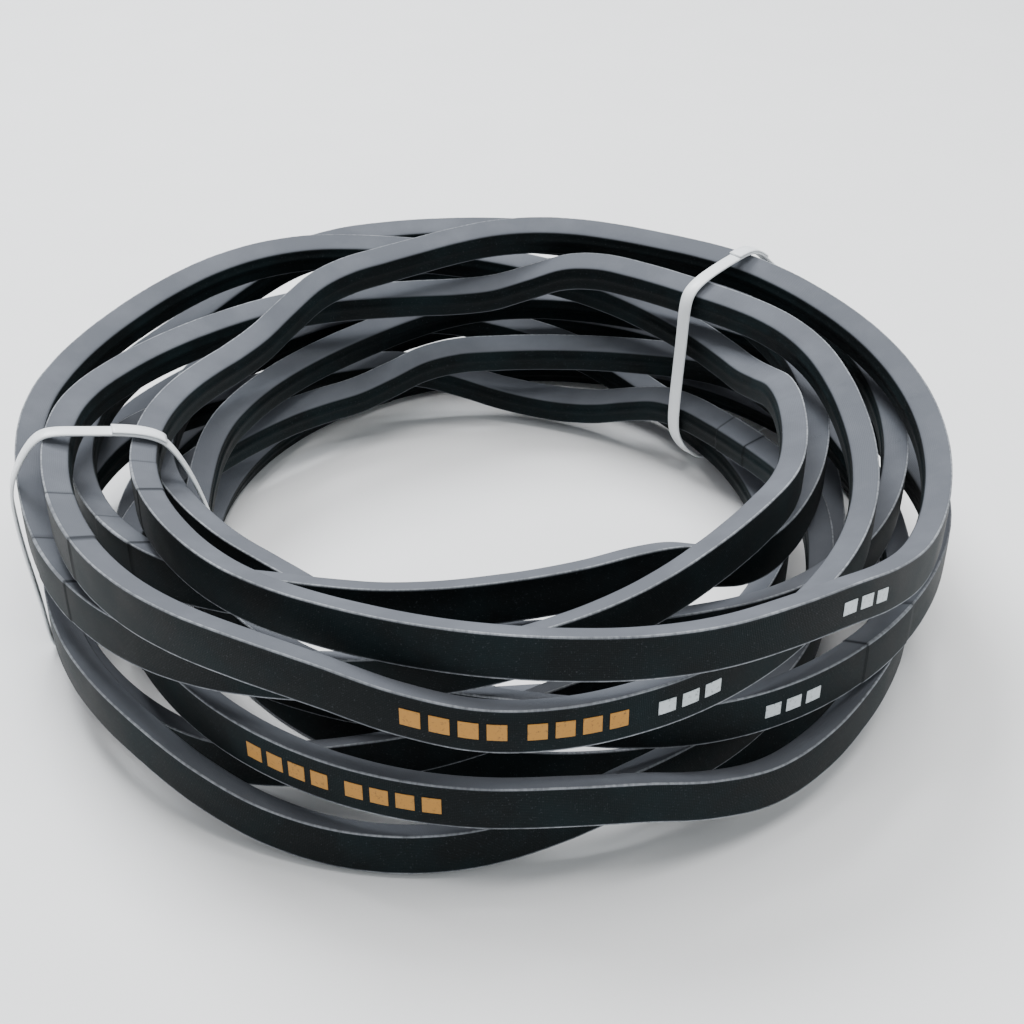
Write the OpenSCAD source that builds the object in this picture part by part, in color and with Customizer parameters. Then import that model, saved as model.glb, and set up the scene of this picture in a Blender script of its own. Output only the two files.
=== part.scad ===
// Bundle of wrapped V-belts, coiled flat and held by two plastic ties.
// Millimetres, +Z up, base on z = 0.
// Every belt is a closed loop of four bonded layers that run round together:
// a fabric cover, a top rubber cushion, the cord layer and the rubber core.

/* [Belt section] */
// Width of the belt's outer face
top_w = 10; // [8:0.5:13]
// Thickness of the belt, outer face to inner face
belt_t = 5.5; // [5:0.5:8]
// Slope of each side face, in degrees
side_angle = 20; // [17:1:20]
// Thickness of the fabric cover
cover_t = 0.6; // [0.4:0.1:0.8]
// Thickness of the rubber cushion over the cords
cushion_t = 0.8; // [0.6:0.1:1]
// Thickness of the cord layer
cord_t = 1.2; // [0.8:0.1:1.4]
// Width of the butt joint in the cover, on the inner face
seam_w = 0.3; // [0.2:0.1:0.6]
// Bond line between neighbouring layers
bond = 0.04; // [0.02:0.01:0.08]

/* [Loop] */
// Mean radius of a belt's outer face when it lies as a ring
loop_r = 86.5; // [84:0.5:92]
// Rings of points along one belt
stations = 44; // [36:2:60]

/* [Bundle] */
// Number of belts
belts = 11; // [8:1:12]
// How far each belt's loop is shifted off the middle of the bundle
shift_r = 17; // [8:0.5:20]
// Bearing of the bottom belt's shift, in degrees from +X
first_bearing = 35; // [0:5:355]
// Turn of the shift from each belt to the next one up, in degrees
turn_per_belt = 64; // [10:1:350]
// Gap kept between belts that cross
belt_gap = 0.3; // [0.2:0.1:0.5]
// How far a belt's rises are eased out on both sides of a crossing
easing = 5; // [0:1:12]

/* [Ties] */
// Width of a tie
tie_w = 3.6; // [2:0.2:4]
// Thickness of a tie
tie_t = 0.8; // [0.5:0.1:1]
// Slack between a tie and the belts
tie_slack = 0.3; // [0.25:0.05:0.5]
// Bearing of the left tie, in degrees from +X
left_bearing = 197; // [190:1:204]
// Bearing of the right tie, in degrees from +X
right_bearing = 42; // [36:1:48]
// Length of the tail that is welded over each tie
tail_l = 12; // [8:1:16]

/* [Hidden] */

last = stations - 1;
step_angle = 360 / stations;
FABRIC = [0.38, 0.4, 0.43];
RUBBER = [0.1, 0.1, 0.11];
CORD = [0.75, 0.72, 0.62];
PLASTIC = [0.93, 0.94, 0.95];

// Ties run under the bundle, so the belts arch over them by this much.
tie_room = tie_t + tie_slack;

// The bottom belt leans until its lower side face is flat on the base.
function lean(belt) = belt == 0 ? side_angle : 0;
function turned(point, angle) = [
    point[0] * cos(angle) - point[1] * sin(angle),
    point[0] * sin(angle) + point[1] * cos(angle)
];
// A section point is [distance from the outer face, height above the belt's lowest edge].
function placed(belt, point) = turned(point, lean(belt));

// Half the belt's width at a depth below its outer face, less an inset from the side face
function half_w(depth, inset) = top_w / 2 - depth * tan(side_angle) - inset / cos(side_angle);
function slab(top_depth, low_depth, inset) = [
    [-top_depth, top_w / 2 - half_w(top_depth, inset)],
    [-top_depth, top_w / 2 + half_w(top_depth, inset)],
    [-low_depth, top_w / 2 + half_w(low_depth, inset)],
    [-low_depth, top_w / 2 - half_w(low_depth, inset)]
];
full_section = slab(0, belt_t, 0);

// Depths of the layers below the outer face
cushion_top = cover_t + bond;
cord_top = cushion_top + cushion_t + bond;
core_top = cord_top + cord_t + bond;
core_low = belt_t - cover_t - bond;
side_inset = cover_t + bond;

// The cover wraps right round the belt and meets itself at the middle of the inner face.
cavity = slab(cover_t, belt_t - cover_t, cover_t);
seam_low = (top_w - seam_w) / 2;
seam_high = (top_w + seam_w) / 2;
cover_section = [
    [-belt_t, seam_low], full_section[3], full_section[0], full_section[1], full_section[2], [-belt_t, seam_high],
    [cover_t - belt_t, seam_high], cavity[2], cavity[1], cavity[0], cavity[3], [cover_t - belt_t, seam_low]
];
LAYERS = [
    ["cover", cover_section, FABRIC],
    ["cushion", slab(cushion_top, cord_top - bond, side_inset), RUBBER],
    ["cords", slab(cord_top, core_top - bond, side_inset), CORD],
    ["core", slab(core_top, core_low, side_inset), RUBBER],
];

// How far a belt reaches inward of its loop radius, and how tall it stands
function reach(belt) = -min([for (point = full_section) placed(belt, point)[0]]);
function stack_h(belt) = max([for (point = full_section) placed(belt, point)[1]]);

// Each belt's loop is shifted to one side, and the shift turns by a fixed angle from belt to belt.
function shift_of(belt) =
    let (bearing = first_bearing + turn_per_belt * belt)
    shift_r * [cos(bearing), sin(bearing)];
function loop_radius(shift, angle) = loop_r + shift * [cos(angle), sin(angle)];
// The bundle is then moved so that its outline is centred on the Z axis.
OUTLINE = [
    for (belt = [0:belts - 1], station = [0:last])
        let (angle = station * step_angle)
        loop_radius(shift_of(belt), angle) * [cos(angle), sin(angle)]
];
function middle(values) = (max(values) + min(values)) / 2;
CENTRE = [middle([for (point = OUTLINE) point[0]]), middle([for (point = OUTLINE) point[1]])];

// Radius of a belt's outer face at a bearing
function radius_at(belt, angle) = loop_radius(shift_of(belt) - CENTRE, angle);
function wrapped(station) = (station + stations) % stations;
function angle_between(a, b) = abs((a - b + 540) % 360 - 180);

// The floor a belt may not go below at a station: the base or a tie
function over_tie(angle, bearing) = angle_between(angle, bearing) < step_angle + 1;
function floor_at(angle) = over_tie(angle, left_bearing) || over_tie(angle, right_bearing) ? tie_room : 0;

// Whether two belts would meet, seen from above, at a station
function meets(upper, lower, angle) =
    radius_at(upper, angle) - reach(upper) < radius_at(lower, angle) + belt_gap
    && radius_at(upper, angle) > radius_at(lower, angle) - reach(lower) - belt_gap;
function meets_near(upper, lower, station) =
    meets(upper, lower, (station - 1) * step_angle)
    || meets(upper, lower, station * step_angle)
    || meets(upper, lower, (station + 1) * step_angle);

// Each belt rests on the belts below it wherever they meet, then its rises are smoothed.
function rested(belt, below) = [
    for (station = [0:last]) max(concat(
        [floor_at(station * step_angle)],
        [for (lower = [0:1:belt - 1]) if (meets_near(belt, lower, station))
            below[lower][station] + stack_h(lower) + belt_gap]
    ))
];
function widened(h) = [for (s = [0:last]) max(h[wrapped(s - 1)], h[s], h[wrapped(s + 1)])];
function smoothed(h) = [for (s = [0:last]) h[wrapped(s - 1)] / 4 + h[s] / 2 + h[wrapped(s + 1)] / 4];
// A belt is too stiff to follow every dip, so it bridges them. The bottom belt lies flat.
function bridged(h, least, times) = times == 0
    ? h
    : bridged(let (eased = smoothed(h)) [for (s = [0:last]) max(least[s], eased[s])], least, times - 1);
function draped(belt, least) = smoothed(bridged(least, least, belt == 0 ? 0 : easing));
function piled(belt, below) = belt == belts
    ? below
    : piled(belt + 1, concat(below, [draped(belt, widened(rested(belt, below)))]));
HEIGHTS = piled(0, []);

// A section swept once round a belt's own loop, as a closed ring
module loop_of(belt, section) {
    corners = len(section);
    points = [
        for (station = [0:last], corner = section)
            let (angle = station * step_angle, point = placed(belt, corner))
            let (r = radius_at(belt, angle) + point[0])
            [r * cos(angle), r * sin(angle), HEIGHTS[belt][station] + point[1]]
    ];
    faces = [
        for (station = [0:last], corner = [0:corners - 1])
            let (here = station * corners, next = wrapped(station + 1) * corners, side = (corner + 1) % corners)
            each [[here + corner, next + corner, next + side], [here + corner, next + side, here + side]]
    ];
    polyhedron(points, faces, convexity = 10);
}

// One layer of one belt
module belt_layer(belt, layer) {
    color(layer[2]) loop_of(belt, layer[1]);
}

// Height of a belt at any bearing, between its stations
function height_at(belt, angle) =
    let (place = angle / step_angle, before = floor(place), part = place - before)
    HEIGHTS[belt][wrapped(before)] * (1 - part) + HEIGHTS[belt][wrapped(before + 1)] * part;

// Outline of the whole bundle where a tie crosses it, as radius against height
module bundle_outline(bearing) {
    edge_angle = tie_w / 2 / loop_r * 180 / PI;
    hull() for (belt = [0:belts - 1], angle = [bearing - edge_angle, bearing + edge_angle])
        translate([radius_at(belt, angle), height_at(belt, angle)])
            polygon([for (point = full_section) placed(belt, point)]);
}

// A flat band round the bundle, between two distances from its outline
module tie_band(bearing, inner, outer) {
    rotate([90, 0, bearing]) translate([0, 0, -tie_w / 2]) linear_extrude(tie_w) difference() {
        offset(r = outer, $fn = 32) bundle_outline(bearing);
        offset(r = inner, $fn = 32) bundle_outline(bearing);
    }
}

module tie_strap(bearing) {
    color(PLASTIC) tie_band(bearing, tie_slack, tie_slack + tie_t);
}

// The tail lies on the strap on top of the bundle, where the tie was pulled tight and welded.
module tie_tail(bearing) {
    tail_low = tie_slack + tie_t + bond;
    top_belt = belts - 1;
    top_h = height_at(top_belt, bearing) + top_w;
    color(PLASTIC) intersection() {
        tie_band(bearing, tail_low, tail_low + tie_t);
        rotate([0, 0, bearing]) translate([radius_at(top_belt, bearing), 0, top_h])
            cube([tail_l, 2 * tie_w, top_w], center = true);
    }
}

for (belt = [0:belts - 1], layer = LAYERS)
    belt_layer(belt, layer);
tie_strap(left_bearing);  // tie_left_strap
tie_tail(left_bearing);  // tie_left_tail
tie_strap(right_bearing);  // tie_right_strap
tie_tail(right_bearing);  // tie_right_tail
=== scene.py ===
"""A bundle of wrapped V-belts held by two plastic ties: the visible surfaces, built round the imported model.

Every belt follows the path of its CAD cover, which is read from the cover's own vertices. Metres throughout.
"""
import math

import bpy
import numpy as np
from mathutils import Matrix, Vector


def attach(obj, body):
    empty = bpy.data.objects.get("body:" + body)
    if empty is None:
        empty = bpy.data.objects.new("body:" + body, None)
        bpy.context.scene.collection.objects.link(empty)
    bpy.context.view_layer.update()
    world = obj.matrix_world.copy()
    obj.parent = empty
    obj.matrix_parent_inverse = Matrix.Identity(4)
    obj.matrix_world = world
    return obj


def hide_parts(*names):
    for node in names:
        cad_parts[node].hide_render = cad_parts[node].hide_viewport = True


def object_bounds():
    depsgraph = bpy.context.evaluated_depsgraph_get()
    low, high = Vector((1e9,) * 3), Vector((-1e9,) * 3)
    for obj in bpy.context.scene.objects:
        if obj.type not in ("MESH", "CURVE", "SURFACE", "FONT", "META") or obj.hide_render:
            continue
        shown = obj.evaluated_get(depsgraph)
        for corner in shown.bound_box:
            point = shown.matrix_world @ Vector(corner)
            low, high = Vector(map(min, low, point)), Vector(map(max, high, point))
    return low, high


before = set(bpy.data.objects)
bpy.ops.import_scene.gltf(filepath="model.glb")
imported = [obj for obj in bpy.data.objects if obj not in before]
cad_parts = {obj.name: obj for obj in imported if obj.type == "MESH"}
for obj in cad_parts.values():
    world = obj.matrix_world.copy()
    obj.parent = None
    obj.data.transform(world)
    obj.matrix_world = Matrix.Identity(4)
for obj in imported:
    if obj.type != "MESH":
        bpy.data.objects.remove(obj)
CAD_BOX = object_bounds()

MM = 0.001
BELTS = sum(name.endswith("_cover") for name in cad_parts)
STATIONS = 44           # rings of points along one CAD belt
TOP_W = 10 * MM         # width of a belt's outer face
BELT_T = 5.5 * MM       # thickness of a belt
SIDE_ANGLE = math.radians(20)
RIM_W = 0.3 * MM        # pale worn line on each outer rim
FACE_CROWN = 0.06 * MM  # how much a belt's outer face bulges
RINGS = 432             # rings of points along one visible belt
TIE_W = 3.6 * MM
TIE_T = 0.7 * MM          # thickness of a tie
TAIL_L = 12 * MM


# ---------------------------------------------------------------- belt paths

def node_points(name):
    """A CAD node's vertices, as an array."""
    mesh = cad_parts[name].data
    flat = np.zeros(len(mesh.vertices) * 3)
    mesh.vertices.foreach_get("co", flat)
    return flat.reshape(-1, 3)


def catmull_rom(values, places):
    """A closed, evenly spaced curve through values, read at places counted in stations."""
    count = len(values)
    before = np.floor(places).astype(int)
    t = places - before
    a, b, c, d = (values[(before + k) % count] for k in (-1, 0, 1, 2))
    return 0.5 * (2 * b + (c - a) * t + (2 * a - 5 * b + 4 * c - d) * t**2 + (3 * b - a - 3 * c + d) * t**3)


class Path:
    """Where one belt runs: outer radius, lowest edge and lean at any bearing."""

    def __init__(self, number):
        points = node_points(f"belt_{number}_cover")
        bearing = np.arctan2(points[:, 1], points[:, 0])
        station = np.round(bearing / (2 * math.pi) * STATIONS).astype(int) % STATIONS
        radius = np.hypot(points[:, 0], points[:, 1])
        self.radius = np.array([radius[station == s].max() for s in range(STATIONS)])
        self.low = np.array([points[station == s, 2].min() for s in range(STATIONS)])
        height = np.median([np.ptp(points[station == s, 2]) for s in range(STATIONS)])
        self.lean = SIDE_ANGLE if height < 0.97 * TOP_W else 0.0
        self.random = np.random.default_rng(100 + number)
        self.phases = self.random.uniform(0, 2 * math.pi, 6)

    def at(self, bearing):
        """Outer radius and height of the lowest edge at these bearings."""
        places = np.asarray(bearing) / (2 * math.pi) * STATIONS
        return catmull_rom(self.radius, places), catmull_rom(self.low, places)

    def surface(self, bearing, across):
        """Points in space of section points (depth, height) at bearings. Arrays of one shape."""
        radius, low = self.at(bearing)
        turn = self.lean
        out = across[..., 0] * math.cos(turn) - across[..., 1] * math.sin(turn)
        up = across[..., 0] * math.sin(turn) + across[..., 1] * math.cos(turn)
        r = radius + out
        return np.stack([r * np.cos(bearing), r * np.sin(bearing), low + up], axis=-1)


PATHS = {number: Path(number) for number in range(1, BELTS + 1)}


# ---------------------------------------------------------------- belt section

def half_width(depth):
    return TOP_W / 2 - depth * math.tan(SIDE_ANGLE)


def corner_arc(before, corner, after, radius, steps):
    """Points of a rounded corner, from one edge to the next."""
    before, corner, after = (np.array(p, float) for p in (before, corner, after))
    start = corner + (before - corner) / np.linalg.norm(before - corner) * radius
    end = corner + (after - corner) / np.linalg.norm(after - corner) * radius
    t = np.linspace(0, 1, steps)[:, None]
    return (1 - t) ** 2 * start + 2 * t * (1 - t) * corner + t**2 * end


def edge_points(start, end, count):
    t = np.linspace(0, 1, count + 2)[1:-1, None]
    return start + (end - start) * t


def belt_outline():
    """The cover's outline round the belt: points, how far each is on a side face, and how near an outer rim.

    It starts and ends at the joint in the middle of the inner face, where the cover laps over itself.
    """
    mid = TOP_W / 2
    corners = [
        np.array([-BELT_T, mid - half_width(BELT_T)]),
        np.array([0.0, 0.0]),
        np.array([0.0, TOP_W]),
        np.array([-BELT_T, mid + half_width(BELT_T)]),
    ]
    inner_r, outer_r = 0.8 * MM, 0.3 * MM
    low_inner = corner_arc((-BELT_T, mid), corners[0], corners[1], inner_r, 4)
    low_outer = corner_arc(corners[0], corners[1], corners[2], outer_r, 4)
    high_outer = corner_arc(corners[1], corners[2], corners[3], outer_r, 4)
    high_inner = corner_arc(corners[2], corners[3], (-BELT_T, mid), inner_r, 4)
    low_side = np.concatenate([
        edge_points(low_inner[-1], low_outer[0], 2), low_outer[:1] * 0.93 + low_inner[-1:] * 0.07,
    ])
    face = edge_points(low_outer[-1], high_outer[0], 5)
    face[:, 0] += FACE_CROWN * (1 - ((face[:, 1] - mid) / mid) ** 2)
    face_low, face_high = low_outer[-1] + (0, RIM_W), high_outer[0] - (0, RIM_W)
    high_side = np.concatenate([
        high_outer[-1:] * 0.93 + high_inner[:1] * 0.07, edge_points(high_outer[-1], high_inner[0], 2),
    ])
    lap = 1.2 * MM
    lap_t = 0.22 * MM
    inner_low = np.array([[-BELT_T, mid - 0.2 * MM], [-BELT_T, mid - lap]])
    inner_high = np.array([
        [-BELT_T, mid + lap], [-BELT_T - lap_t, mid + lap - 0.2 * MM], [-BELT_T - lap_t, mid],
    ])
    parts = [
        (inner_low, 0, 0), (low_inner[:2], 0, 0), (low_inner[2:], 1, 0), (low_side, 1, 0),
        (low_outer, 0.6, 1), (face_low[None], 0, 0), (face, 0, 0), (face_high[None], 0, 0),
        (high_outer, 0.6, 1), (high_side, 1, 0),
        (high_inner[:2], 1, 0), (high_inner[2:], 0, 0), (inner_high, 0, 0),
    ]
    points = np.concatenate([p for p, _, _ in parts])
    side = np.concatenate([np.full(len(p), s, float) for p, s, _ in parts])
    rim = np.concatenate([np.full(len(p), r, float) for p, _, r in parts])
    return points, side, rim


OUTLINE, OUTLINE_SIDE, OUTLINE_RIM = belt_outline()


def outward(points):
    """Unit normals of a closed outline, pointing out."""
    along = np.roll(points, -1, axis=0) - np.roll(points, 1, axis=0)
    normal = np.stack([-along[:, 1], along[:, 0]], axis=1)
    return normal / np.maximum(np.linalg.norm(normal, axis=1, keepdims=True), 1e-9)


OUTLINE_NORMAL = outward(OUTLINE)
if ((OUTLINE - OUTLINE.mean(axis=0)) * OUTLINE_NORMAL).sum() < 0:
    OUTLINE_NORMAL = -OUTLINE_NORMAL


# ---------------------------------------------------------------- mesh helpers

def new_object(name, vertices, faces, smooth=True):
    mesh = bpy.data.meshes.new(name)
    mesh.from_pydata([tuple(v) for v in vertices], [], [tuple(f) for f in faces])
    mesh.validate()
    mesh.update()
    for polygon in mesh.polygons:
        polygon.use_smooth = smooth
    piece = bpy.data.objects.new(name, mesh)
    bpy.context.scene.collection.objects.link(piece)
    return piece


def ring_faces(rings, corners):
    """Quads of a closed loop of closed sections."""
    ring = np.arange(rings)[:, None] * corners
    after = (np.arange(rings)[:, None] + 1) % rings * corners
    corner = np.arange(corners)[None, :]
    side = (corner + 1) % corners
    return np.stack([ring + corner, after + corner, after + side, ring + side], axis=-1).reshape(-1, 4)


def add_attribute(piece, name, values):
    layer = piece.data.attributes.new(name, "FLOAT", "POINT")
    layer.data.foreach_set("value", np.ascontiguousarray(values, np.float32).ravel())


def ramp_up(x, start, width):
    """0 before start, 1 after start + width, smooth between."""
    t = np.clip((x - start) / width, 0, 1)
    return t * t * (3 - 2 * t)


# ---------------------------------------------------------------- materials

def tree_of(name):
    material = bpy.data.materials.new(name)
    material.use_nodes = True
    tree = material.node_tree
    shader = tree.nodes["Principled BSDF"]
    return material, tree, shader


class Graph:
    """Short calls for building a node tree."""

    def __init__(self, tree):
        self.tree = tree

    def node(self, kind, **settings):
        made = self.tree.nodes.new(kind)
        for key, value in settings.items():
            setattr(made, key, value)
        return made

    def link(self, source, target):
        self.tree.links.new(source, target)

    def set(self, target, value):
        if isinstance(value, bpy.types.NodeSocket):
            self.link(value, target)
        else:
            target.default_value = value

    def math(self, operation, a, b=0.0, clamp=False):
        made = self.node("ShaderNodeMath", operation=operation, use_clamp=clamp)
        self.set(made.inputs[0], a)
        self.set(made.inputs[1], b)
        return made.outputs[0]

    def attribute(self, name):
        return self.node("ShaderNodeAttribute", attribute_name=name).outputs["Fac"]

    def combine(self, x, y, z=0.0):
        made = self.node("ShaderNodeCombineXYZ")
        for socket, value in zip(made.inputs, (x, y, z)):
            self.set(socket, value)
        return made.outputs[0]

    def noise(self, scale, detail=2.0, vector=None, roughness=0.5):
        made = self.node("ShaderNodeTexNoise")
        made.inputs["Scale"].default_value = scale
        made.inputs["Detail"].default_value = detail
        made.inputs["Roughness"].default_value = roughness
        if vector is not None:
            self.link(vector, made.inputs["Vector"])
        return made.outputs["Fac"]

    def place(self):
        return self.node("ShaderNodeTexCoord").outputs["Object"]

    def spread(self, value, low, high, new_low=0.0, new_high=1.0):
        made = self.node("ShaderNodeMapRange", clamp=True)
        for socket, number in zip(made.inputs, (value, low, high, new_low, new_high)):
            self.set(socket, number)
        return made.outputs[0]

    def mix(self, amount, a, b):
        made = self.node("ShaderNodeMix", data_type="RGBA")
        self.set(made.inputs[0], amount)
        self.set(made.inputs[6], a)
        self.set(made.inputs[7], b)
        return made.outputs[2]

    def bump(self, height, strength, distance):
        made = self.node("ShaderNodeBump")
        made.inputs["Strength"].default_value = strength
        made.inputs["Distance"].default_value = distance
        self.link(height, made.inputs["Height"])
        return made.outputs["Normal"]


# Painted light: the side colours are much paler than the outer face colours, as if the sides were lit from
# above and the outer faces were in shade. The real cover is only a little paler on its sides.
SIDE_GREY_PAINTED_LIT = (0.105, 0.112, 0.128, 1)
SIDE_DUST_PAINTED_LIT = (0.2, 0.215, 0.24, 1)
FACE_BLACK = (0.0022, 0.0040, 0.0046, 1)
FACE_TEAL = (0.0045, 0.011, 0.013, 1)
RIM_THREAD = (0.42, 0.44, 0.47, 1)
SEAM_DARK = (0.004, 0.005, 0.006, 1)


def cover_material():
    """Rubber-coated cotton: sides painted light grey as if lit from above, with real dust patches; near black
    outer face, partly painted shade; pale worn threads on the rims.
    """
    material, tree, shader = tree_of("cover_fabric")
    g = Graph(tree)
    along, girth = g.attribute("along_mm"), g.attribute("girth_mm")
    side, rim, splice = g.attribute("side"), g.attribute("rim"), g.attribute("splice")

    # Bias-cut plain weave: two sets of threads that cross at an angle.
    warp_place = g.math("ADD", g.math("MULTIPLY", along, 1.0), g.math("MULTIPLY", girth, 0.8))
    weft_place = g.math("SUBTRACT", g.math("MULTIPLY", along, 1.0), g.math("MULTIPLY", girth, 0.8))
    thread_pitch = 0.62  # millimetres
    thread_turns = 2 * math.pi / thread_pitch
    warp = g.math("SINE", g.math("MULTIPLY", warp_place, thread_turns))
    weft = g.math("SINE", g.math("MULTIPLY", weft_place, thread_turns))
    weave = g.math("MULTIPLY_ADD", g.math("MULTIPLY", warp, weft), 0.5)
    weave.node.inputs[2].default_value = 0.5

    patchy = g.noise(55, 4, g.place(), 0.6)
    fine = g.noise(2600, 2, g.place(), 0.6)
    dust = g.spread(patchy, 0.42, 0.72)
    # Painted light with real dust: sides get the painted lit grey and the outer face the darker painted
    # shade, and dust patches vary both.
    side_painted_lit_colour = g.mix(g.math("MULTIPLY", dust, 0.28), SIDE_GREY_PAINTED_LIT, SIDE_DUST_PAINTED_LIT)
    face_colour = g.mix(dust, FACE_BLACK, FACE_TEAL)
    colour = g.mix(side, face_colour, side_painted_lit_colour)

    # Threads show pale where the coating has worn off the outer rims.
    rim_places = g.combine(g.math("MULTIPLY", along, 1.4), g.math("MULTIPLY", girth, 0.4))
    dotted = g.spread(g.noise(1.0, 2, rim_places), 0.3, 0.6, 0.4, 1.0)
    uneven = g.math("MULTIPLY", dotted, g.spread(patchy, 0.3, 0.62, 0.35, 1.0))
    worn = g.math("MULTIPLY", g.spread(rim, 0.5, 0.95), uneven)
    colour = g.mix(g.math("MULTIPLY", worn, 0.65), colour, RIM_THREAD)
    speckle = g.math("MULTIPLY", g.spread(fine, 0.62, 0.75), 0.12)
    colour = g.mix(speckle, colour, SIDE_DUST_PAINTED_LIT)
    colour = g.mix(g.math("MULTIPLY", splice, 0.85), colour, SEAM_DARK)
    g.link(colour, shader.inputs["Base Color"])

    rough_face = g.spread(patchy, 0.3, 0.7, 0.5, 0.66)
    roughness = g.node("ShaderNodeMix")
    g.link(side, roughness.inputs[0])
    g.link(rough_face, roughness.inputs[2])
    roughness.inputs[3].default_value = 0.9
    g.link(roughness.outputs[0], shader.inputs["Roughness"])
    shader.inputs["Specular IOR Level"].default_value = 0.08
    shader.inputs["Sheen Weight"].default_value = 0.02
    shader.inputs["Sheen Roughness"].default_value = 0.5

    relief = g.math("ADD", g.math("MULTIPLY", weave, 0.75), g.math("MULTIPLY", fine, 0.6))
    g.link(g.bump(relief, 0.35, 0.00012), shader.inputs["Normal"])
    return material


def rubber_material():
    material, tree, shader = tree_of("belt_rubber")
    g = Graph(tree)
    patchy = g.noise(300, 4, g.place())
    g.link(g.mix(patchy, (0.012, 0.012, 0.013, 1), (0.03, 0.03, 0.032, 1)), shader.inputs["Base Color"])
    g.link(g.spread(patchy, 0.3, 0.7, 0.65, 0.85), shader.inputs["Roughness"])
    g.link(g.bump(g.noise(1800, 3, g.place()), 0.3, 0.0001), shader.inputs["Normal"])
    return material


def cord_material():
    """Pale cords side by side, seen only if a belt is cut."""
    material, tree, shader = tree_of("belt_cords")
    g = Graph(tree)
    height = g.node("ShaderNodeSeparateXYZ")
    g.link(g.place(), height.inputs[0])
    strands = g.math("SINE", g.math("MULTIPLY", height.outputs[2], 2 * math.pi / (1.1 * MM)))
    mask = g.spread(strands, -0.4, 0.3)
    fibres = g.noise(2500, 3, g.place())
    cord_colour = g.mix(fibres, (0.55, 0.5, 0.38, 1), (0.8, 0.76, 0.64, 1))
    g.link(g.mix(mask, (0.03, 0.03, 0.03, 1), cord_colour), shader.inputs["Base Color"])
    shader.inputs["Roughness"].default_value = 0.85
    g.link(g.bump(g.math("ADD", strands, fibres), 0.4, 0.0002), shader.inputs["Normal"])
    return material


def tie_material():
    """White polypropylene strip, slightly see-through at its edges, with drawn lines along it."""
    material, tree, shader = tree_of("tie_plastic")
    g = Graph(tree)
    streaks = g.noise(900, 2, g.place())
    cloud = g.noise(60, 3, g.place())
    g.link(g.mix(cloud, (0.78, 0.81, 0.83, 1), (0.9, 0.92, 0.93, 1)), shader.inputs["Base Color"])
    g.link(g.spread(streaks, 0.3, 0.7, 0.28, 0.42), shader.inputs["Roughness"])
    shader.inputs["Subsurface Weight"].default_value = 0.15
    shader.inputs["Subsurface Radius"].default_value = (0.0012, 0.0012, 0.0012)
    shader.inputs["IOR"].default_value = 1.49
    g.link(g.bump(streaks, 0.15, 0.00008), shader.inputs["Normal"])
    return material


def ink_material(name, colour, faded):
    """Printing ink, thin and a little worn."""
    material, tree, shader = tree_of(name)
    g = Graph(tree)
    wear = g.spread(g.noise(1500, 4, g.place(), 0.65), 0.56, 0.74)
    g.link(g.mix(wear, colour, faded), shader.inputs["Base Color"])
    shader.inputs["Roughness"].default_value = 0.6
    g.link(g.bump(g.noise(2600, 2, g.place()), 0.2, 0.00008), shader.inputs["Normal"])
    return material


COVER = cover_material()
RUBBER = rubber_material()
CORDS = cord_material()
TIE = tie_material()
AMBER_INK = ink_material("amber_ink", (0.42, 0.19, 0.02, 1), (0.1, 0.05, 0.012, 1))
WHITE_INK = ink_material("white_ink", (0.55, 0.6, 0.62, 1), (0.1, 0.12, 0.13, 1))


# ---------------------------------------------------------------- belts

# Bearing where each belt's cover is spliced, in degrees
SPLICE_AT = {1: 110, 2: 262, 3: 190, 4: 20, 5: 212, 6: 318, 7: 60, 8: 204, 9: 206, 10: 209, 11: 205}
SPLICE_LENGTH = 14 * MM
SPLICE_T = 0.16 * MM


def ring_bearings(number):
    """Even bearings, with closely spaced ones added at both ends of the splice."""
    even = np.arange(RINGS) * 2 * math.pi / RINGS
    radius = PATHS[number].radius.mean()
    start = math.radians(SPLICE_AT[number])
    ends = np.array([start, start + SPLICE_LENGTH / radius])
    near = np.array([-0.5, -0.2, 0.05, 0.35]) * MM / radius
    extra = (ends[:, None] + near[None, :]).ravel() % (2 * math.pi)
    gap = np.abs((even[:, None] - extra[None, :] + math.pi) % (2 * math.pi) - math.pi).min(axis=1)
    return np.sort(np.concatenate([even[gap > 0.25 * MM / radius], extra]))


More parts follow.
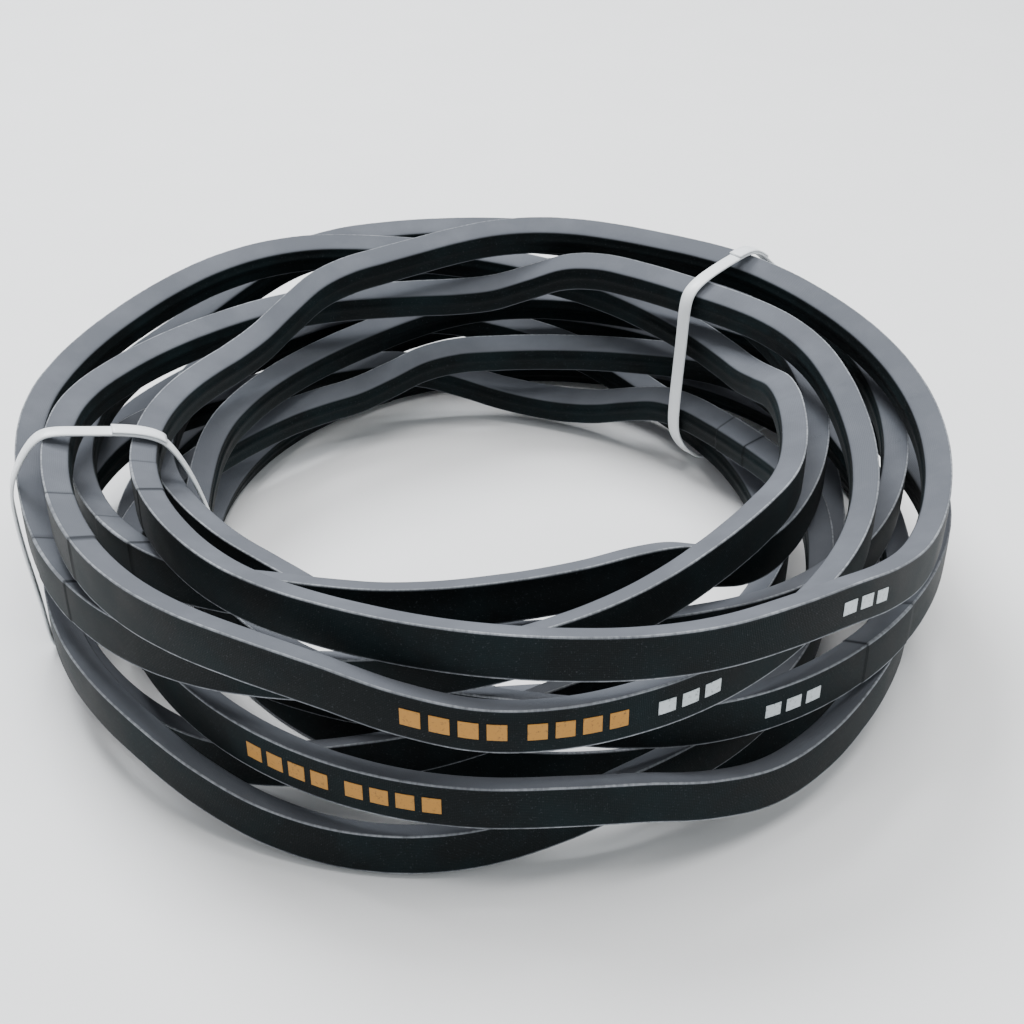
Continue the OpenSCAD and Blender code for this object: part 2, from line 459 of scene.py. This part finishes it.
def belt_cover(number):
    """One belt's fabric cover: rounded section, worn rims, a lap along the inner face and a splice across."""
    path = PATHS[number]
    bearing = ring_bearings(number)
    rings, corners = len(bearing), len(OUTLINE)
    start = math.radians(SPLICE_AT[number])
    radius = path.radius.mean()
    from_splice = ((bearing - start + math.pi) % (2 * math.pi) - math.pi) * radius
    raised = ramp_up(from_splice, -0.3 * MM, 0.3 * MM) * (1 - ramp_up(from_splice, SPLICE_LENGTH, 0.3 * MM))
    edge = np.exp(-((from_splice + 0.2 * MM) / (0.3 * MM)) ** 2)
    edge += np.exp(-((from_splice - SPLICE_LENGTH - 0.2 * MM) / (0.3 * MM)) ** 2)

    # Threads on the rims make them a little uneven, and the faces are never quite flat.
    frayed = path.random.normal(0, 0.012 * MM, (rings, corners)) * OUTLINE_RIM
    girth = np.concatenate([[0], np.cumsum(np.linalg.norm(np.diff(OUTLINE, axis=0), axis=1))])
    wave = sum(
        math.sin(phase) * np.sin(bearing[:, None] * turns + phase + girth[None, :] * 700)
        for phase, turns in zip(path.phases, (5, 9, 14, 23, 31, 47))
    )
    push = raised[:, None] * SPLICE_T + frayed + wave * 0.01 * MM
    across = OUTLINE[None, :, :] + OUTLINE_NORMAL[None, :, :] * push[:, :, None]
    angles = np.repeat(bearing[:, None], corners, axis=1)
    points = path.surface(angles, across).reshape(-1, 3)
    piece = new_object(f"belt_{number}_jacket", points, ring_faces(rings, corners)[:, ::-1])
    add_attribute(piece, "along_mm", angles * radius / MM)
    add_attribute(piece, "girth_mm", np.tile(girth / MM, (rings, 1)))
    add_attribute(piece, "side", np.tile(OUTLINE_SIDE, (rings, 1)))
    add_attribute(piece, "rim", np.tile(OUTLINE_RIM, (rings, 1)))
    add_attribute(piece, "splice", np.tile(np.clip(edge, 0, 1)[:, None], (1, corners)))
    piece.data.materials.append(COVER)
    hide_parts(f"belt_{number}_cover")
    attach(piece, "root")


def dress(node, material):
    """Gives a CAD node, kept as it is, its material."""
    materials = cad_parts[node].data.materials
    materials.clear()
    materials.append(material)


LAYER_MATERIALS = {"cushion": RUBBER, "cords": CORDS, "core": RUBBER}
for number in range(1, BELTS + 1):
    belt_cover(number)
    for layer, material in LAYER_MATERIALS.items():
        dress(f"belt_{number}_{layer}", material)


# ---------------------------------------------------------------- prints

INK_T = 0.1 * MM


def printed_bar(path, vertices, faces, start, length, low, high):
    """Adds one bar of ink on a belt's outer face. start is in radians, low and high are heights in metres."""
    radius = path.radius.mean()
    steps = max(2, int(length / (0.8 * MM)))
    base = len(vertices)
    for step in range(steps + 1):
        share = step / steps
        for height in (low, high):
            lift = FACE_CROWN * (1 - ((height - TOP_W / 2) / (TOP_W / 2)) ** 2)
            bearing = start + length * share / radius
            for depth in (lift + INK_T, lift - 2 * INK_T):
                vertices.append(path.surface(np.array(bearing), np.array([depth, height])))
    for step in range(steps):
        a, b = base + 4 * step, base + 4 * step + 4
        faces += [(a, b, b + 2, a + 2), (a + 1, a + 3, b + 3, b + 1)]
        faces += [(a, a + 1, b + 1, b), (a + 2, b + 2, b + 3, a + 3)]
    last = base + 4 * steps
    faces += [(base, base + 2, base + 3, base + 1), (last, last + 1, last + 3, last + 2)]


def print_row(name, number, bearing, marks, low, high, material):
    """A row of plain marks on a belt's outer face, starting at a bearing in degrees."""
    path = PATHS[number]
    radius = path.radius.mean()
    vertices, faces = [], []
    place = math.radians(bearing) * radius
    for gap, length in marks:
        place += gap * MM
        printed_bar(path, vertices, faces, place / radius, length * MM, low * MM, high * MM)
        place += length * MM
    piece = new_object(name, vertices, faces, smooth=False)
    piece.data.materials.append(material)
    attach(piece, "root")


# Plain dashes stand in for the maker's print and the size mark.
DASH = 3.0
DASH_GAP = 1.2
GROUP_GAP = 3.0


def dashes(groups, count):
    """Groups of equal dashes, each dash as (gap before it, its length), in millimetres."""
    marks = []
    for group in range(groups):
        for dash in range(count):
            first_gap = GROUP_GAP if group else 0
            marks.append((DASH_GAP if dash else first_gap, DASH))
    return marks


AMBER_MARKS = dashes(2, 4)
WHITE_MARKS = dashes(1, 3)
print_row("print_amber_1", 10, 262, AMBER_MARKS, 3.2, 6.8, AMBER_INK)
print_row("print_amber_2", 5, 243, AMBER_MARKS, 3.2, 6.8, AMBER_INK)
print_row("print_white_1", 10, 288, WHITE_MARKS, 3.4, 6.4, WHITE_INK)
print_row("print_white_2", 11, 309, WHITE_MARKS, 3.4, 6.4, WHITE_INK)
print_row("print_white_3", 6, 303, WHITE_MARKS, 3.4, 6.4, WHITE_INK)

# ---------------------------------------------------------------- ties

def convex_hull(points):
    """Corners of the hull of points in a plane, anticlockwise."""
    points = sorted(map(tuple, points))

    def half(chain_points):
        chain = []
        for point in chain_points:
            while len(chain) > 1 and turn(chain[-2], chain[-1], point) <= 1e-12:
                chain.pop()
            chain.append(point)
        return chain[:-1]

    def turn(a, b, c):
        return (b[0] - a[0]) * (c[1] - a[1]) - (b[1] - a[1]) * (c[0] - a[0])

    return np.array(half(points) + half(points[::-1]))


def resampled(loop, count):
    """A closed curve's points, evenly spaced."""
    closed = np.vstack([loop, loop[:1]])
    run = np.concatenate([[0], np.cumsum(np.linalg.norm(np.diff(closed, axis=0), axis=1))])
    places = np.linspace(0, run[-1], count, endpoint=False)
    return np.stack([np.interp(places, run, closed[:, axis]) for axis in (0, 1)], axis=1)


def stiff_loop(hull, count=240, rounds=2500):
    """A springy closed strip round a hull: it bends as little as it can without going inside."""
    edges = np.roll(hull, -1, axis=0) - hull
    normals = np.stack([edges[:, 1], -edges[:, 0]], axis=1) / np.linalg.norm(edges, axis=1, keepdims=True)
    offsets = (normals * hull).sum(axis=1) - TIE_T
    tension, stiffness = 0.004, 0.06
    loop = resampled(hull, count)
    for _ in range(rounds):
        pull = np.roll(loop, 1, axis=0) + np.roll(loop, -1, axis=0) - 2 * loop
        bend = np.roll(pull, 1, axis=0) + np.roll(pull, -1, axis=0) - 2 * pull
        loop = loop + tension * pull - stiffness * bend
        clear = loop @ normals.T - offsets
        nearest = clear.argmax(axis=1)
        inside = np.minimum(clear.max(axis=1), 0)
        loop = loop - inside[:, None] * normals[nearest]
        loop[:, 1] = np.maximum(loop[:, 1], TIE_T)
    return resampled(loop, count)


def strip(name, loop, closed, bearing, lift, width, thickness, twist):
    """A flat plastic strip along points (radius, height) in the upright plane at a bearing."""
    count = len(loop)
    if closed:
        along = np.roll(loop, -1, axis=0) - np.roll(loop, 1, axis=0)
    else:
        along = np.gradient(loop, axis=0)
    along /= np.linalg.norm(along, axis=1, keepdims=True)
    normal = np.stack([along[:, 1], -along[:, 0]], axis=1)
    half, bevel = width / 2, thickness * 0.35
    section = np.array([
        (-half + bevel, 0), (half - bevel, 0), (half, bevel), (half, thickness - bevel),
        (half - bevel, thickness),
        (0, thickness * 1.12), (-half + bevel, thickness), (-half, thickness - bevel), (-half, bevel),
    ])
    out = np.array([math.cos(bearing), math.sin(bearing), 0])
    cross = np.array([-math.sin(bearing), math.cos(bearing), 0])
    vertices = []
    for point, n, turn in zip(loop, normal, twist):
        centre = out * point[0] + np.array([0, 0, point[1]])
        outwards = out * n[0] + np.array([0, 0, n[1]])
        for across, height in section:
            level = height + lift
            vertices.append(
                centre + cross * (across * math.cos(turn) + level * math.sin(turn) * 0.2)
                + outwards * (level + abs(across) * abs(math.sin(turn)) * 0.5)
            )
    corners = len(section)
    if closed:
        faces = ring_faces(count, corners).tolist()
    else:
        faces = ring_faces(count, corners).tolist()[:-corners]
        faces += [list(range(corners)), list(range((count - 1) * corners, count * corners))[::-1]]
    piece = new_object(name, vertices, faces)
    piece.data.materials.append(TIE)
    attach(piece, "root")
    return piece


def tie(side):
    """One tie: a springy loop round the bundle with its tail welded over it."""
    points = node_points(f"tie_{side}_strap")
    centre = points.mean(axis=0)
    bearing = math.atan2(centre[1], centre[0])
    radius = points[:, 0] * math.cos(bearing) + points[:, 1] * math.sin(bearing)
    loop = stiff_loop(convex_hull(np.stack([radius, points[:, 2]], axis=1)))
    places = np.linspace(0, 2 * math.pi, len(loop), endpoint=False)
    twist = 0.12 * np.sin(places * 2 + bearing) + 0.08 * np.sin(places * 5 + 1)
    strap = strip(f"tie_{side}_band", loop, True, bearing, 0, TIE_W, TIE_T, twist)
    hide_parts(f"tie_{side}_strap")

    tail_points = node_points(f"tie_{side}_tail").mean(axis=0)
    tail_centre = np.array([np.hypot(tail_points[0], tail_points[1]), tail_points[2]])
    middle = np.linalg.norm(loop - tail_centre, axis=1).argmin()
    spacing = np.linalg.norm(loop[1] - loop[0])
    reach = int(TAIL_L / 2 / spacing)
    picked = loop[np.arange(middle - reach, middle + reach + 1) % len(loop)]
    flat = np.zeros(len(picked))
    tail = strip(f"tie_{side}_end", picked, False, bearing, TIE_T * 1.05, TIE_W, TIE_T * 0.8, flat)
    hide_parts(f"tie_{side}_tail")


tie("left")
tie("right")


# ---------------------------------------------------------------- floor, light, camera

def floor():
    mesh = bpy.data.meshes.new("floor")
    size = 3.0
    low = CAD_BOX[0].z - 0.0002
    corners = [(-size, -size, low), (size, -size, low), (size, size, low), (-size, size, low)]
    mesh.from_pydata(corners, [], [(0, 1, 2, 3)])
    ground = bpy.data.objects.new("floor", mesh)
    bpy.context.scene.collection.objects.link(ground)
    material, tree, shader = tree_of("floor_white")
    g = Graph(tree)
    cloud = g.noise(30, 2, g.place())
    g.link(g.mix(cloud, (0.86, 0.86, 0.86, 1), (0.9, 0.9, 0.9, 1)), shader.inputs["Base Color"])
    shader.inputs["Roughness"].default_value = 0.9
    ground.data.materials.append(material)


def area_light(name, place, target, size, watts, colour=(1, 1, 1)):
    data = bpy.data.lights.new(name, "AREA")
    data.shape = "DISK"
    data.size = size
    data.energy = watts
    data.color = colour
    light = bpy.data.objects.new(name, data)
    light.location = place
    light.rotation_mode = "QUATERNION"
    light.rotation_quaternion = (Vector(target) - Vector(place)).to_track_quat("-Z", "Y")
    bpy.context.scene.collection.objects.link(light)


def lights():
    area_light("key", (-0.4, 0.55, 1.1), (0, 0, 0.03), 0.6, 22, (0.94, 0.97, 1.0))
    area_light("top", (0.15, 0.0, 1.3), (0, 0, 0.03), 0.9, 17)
    area_light("front", (0.5, -1.0, 0.9), (0, 0, 0.03), 0.8, 3, (0.9, 1.0, 1.0))
    world = bpy.data.worlds.new("studio")
    bpy.context.scene.world = world
    world.use_nodes = True
    background = world.node_tree.nodes["Background"]
    background.inputs[0].default_value = (0.95, 0.97, 1.0, 1)
    background.inputs[1].default_value = 0.55


def camera():
    """Looks down at the bundle from the front."""
    pitch = math.radians(34)
    distance = 0.36
    target = Vector((0.005, -0.013, 0.025))
    data = bpy.data.cameras.new("camera")
    data.sensor_width = 36
    data.lens = 56.25
    data.clip_start = 0.01
    eye = bpy.data.objects.new("camera", data)
    back = Vector((0, -math.cos(pitch), math.sin(pitch)))
    eye.location = target + back * distance
    eye.rotation_mode = "QUATERNION"
    eye.rotation_quaternion = (-back).to_track_quat("-Z", "Y")
    bpy.context.scene.collection.objects.link(eye)
    bpy.context.scene.camera = eye


floor()
lights()
camera()
